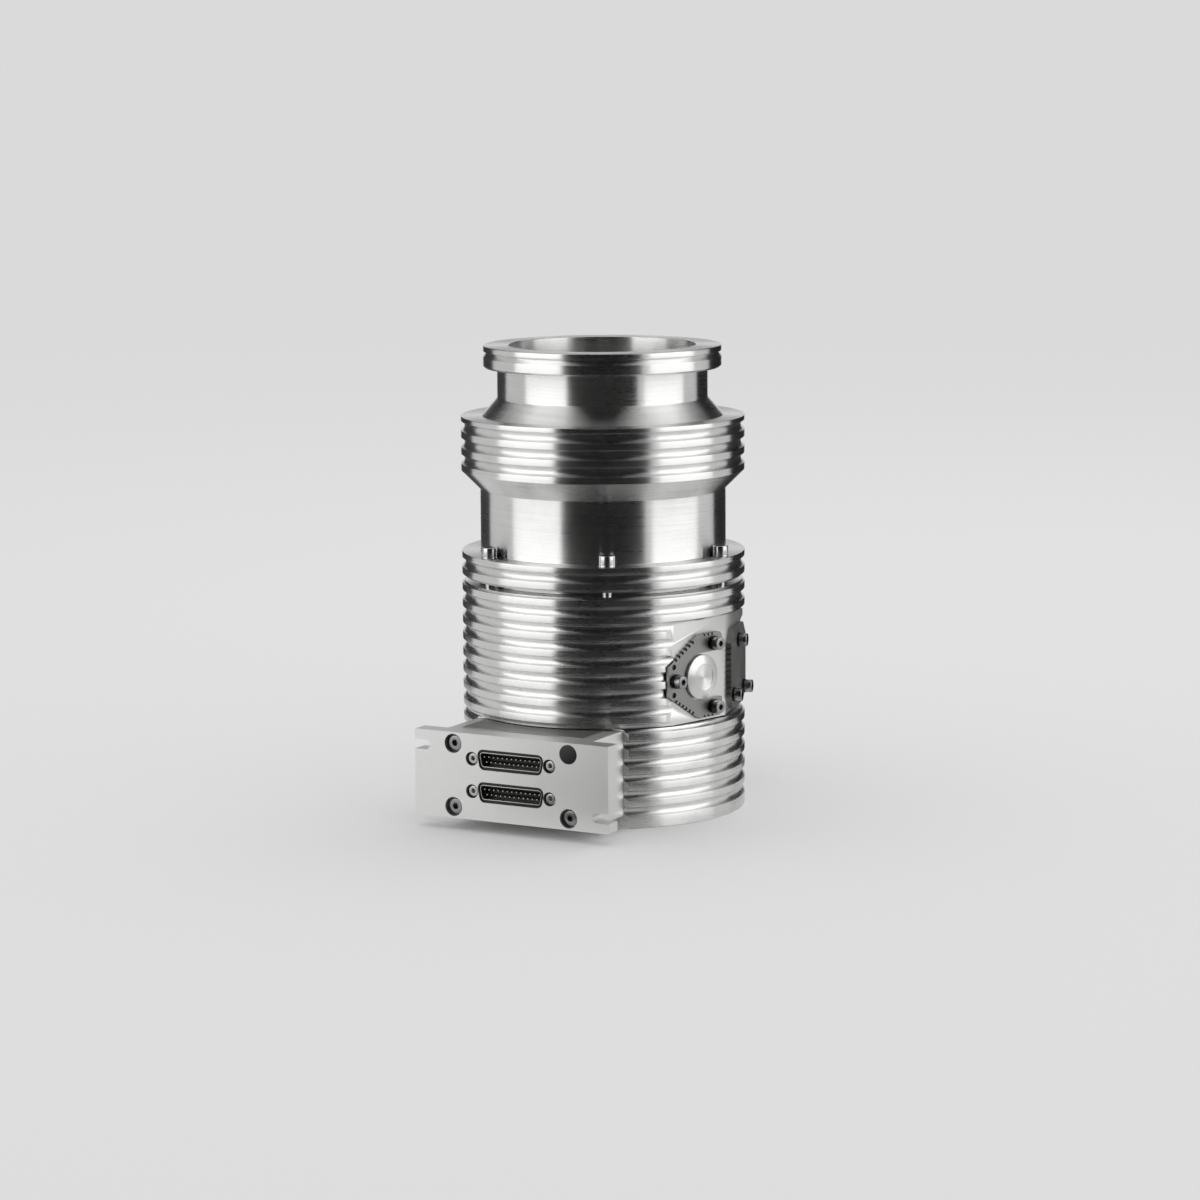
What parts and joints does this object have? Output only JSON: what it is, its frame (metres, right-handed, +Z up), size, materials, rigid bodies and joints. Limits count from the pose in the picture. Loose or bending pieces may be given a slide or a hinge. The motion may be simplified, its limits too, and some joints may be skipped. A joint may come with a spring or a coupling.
{
  "type": "turbomolecular pump",
  "caption": "Upright cylindrical high-vacuum pump with a clamp-flange inlet on top, ribbed housings, side covers, a connector box on the base and a bladed rotor that spins about its axis.",
  "frame": {"origin": "middle of the base's underside, on the rotor axis", "axes": "+Z up along the rotor axis to the inlet, -Y towards the connector box's front plate, +Y towards the fore-vacuum port"},
  "size_m": [0.159, 0.2166, 0.2532],
  "materials": {
    "bearing_steel": "ground",
    "black_plastic": "moulded",
    "circuit_board": "laminate",
    "cover_steel": "dull rolled sheet",
    "housing_steel": "bright turned",
    "magnet_steel": "ground",
    "plated_steel": "nickel plated",
    "ribbed_aluminium": "bright turned ribs",
    "satin_aluminium": "satin blasted",
    "screw_steel": "bright stainless",
    "seal_rubber": "matt",
    "turned_aluminium": "fine turned",
    "turned_steel": "face turned",
    "winding_stack": "laminated and potted"
  },
  "bodies": {
    "pump_body": {"axial_sensor": "winding_stack", "base": "ribbed_aluminium", "bearing_carrier": "ribbed_aluminium", "bottom_cover": "ribbed_aluminium", "carrier_screws": "screw_steel", "connector_box": "ribbed_aluminium", "connector_plate": "satin_aluminium", "cover_screws": "screw_steel", "drag_stator": "turned_aluminium", "fore_port": "turned_steel", "inlet_housing": "housing_steel", "label_plate": "cover_steel", "lock_studs": "plated_steel", "lower_axial_magnet": "winding_stack", "lower_bearing_stator": "winding_stack", "lower_housing": "ribbed_aluminium", "lower_plug_body": "black_plastic", "lower_plug_pins": "plated_steel", "lower_plug_shell": "plated_steel", "lower_sensor": "winding_stack", "lower_touchdown_outer_race": "bearing_steel", "motor_stator": "winding_stack", "plate_plug": "black_plastic", "plate_screws": "screw_steel", "port_screws": "screw_steel", "service_cover": "cover_steel", "service_cover_screws": "screw_steel", "spacer_rings": "turned_aluminium", "stator_disc_1": "turned_aluminium", "stator_disc_2": "turned_aluminium", "stator_disc_3": "turned_aluminium", "stator_disc_4": "turned_aluminium", "stator_disc_5": "turned_aluminium", "terminal_board": "circuit_board", "upper_axial_magnet": "winding_stack", "upper_bearing_stator": "winding_stack", "upper_plug_body": "black_plastic", "upper_plug_pins": "plated_steel", "upper_plug_shell": "plated_steel", "upper_sensor": "winding_stack", "upper_touchdown_outer_race": "bearing_steel", "vent_cap": "turned_steel", "vent_cover": "cover_steel", "vent_cover_screws": "screw_steel", "waist_screws": "screw_steel", "waist_seal": "seal_rubber", "waist_washers": "screw_steel"},
    "rotor": {"lower_bearing_rotor": "magnet_steel", "motor_rotor": "magnet_steel", "rotor_bolt": "screw_steel", "rotor_clamp": "bearing_steel", "shaft": "bearing_steel", "thrust_disc": "bearing_steel", "turbine": "turned_aluminium", "upper_bearing_rotor": "magnet_steel"},
    "upper_touchdown": {"upper_touchdown_inner_race": "bearing_steel"},
    "lower_touchdown": {"lower_touchdown_inner_race": "bearing_steel"}
  },
  "joints": [
    {"name": "rotor_spin", "type": "hinge", "parent": "pump_body", "child": "rotor", "pos_m": [0, 0, 0.12], "axis": [0, 0, 1], "continuous": true},
    {"name": "upper_touchdown_spin", "type": "hinge", "parent": "pump_body", "child": "upper_touchdown", "pos_m": [0, 0, 0.183], "axis": [0, 0, 1], "continuous": true},
    {"name": "lower_touchdown_spin", "type": "hinge", "parent": "pump_body", "child": "lower_touchdown", "pos_m": [0, 0, 0.06], "axis": [0, 0, 1], "continuous": true}
  ]
}
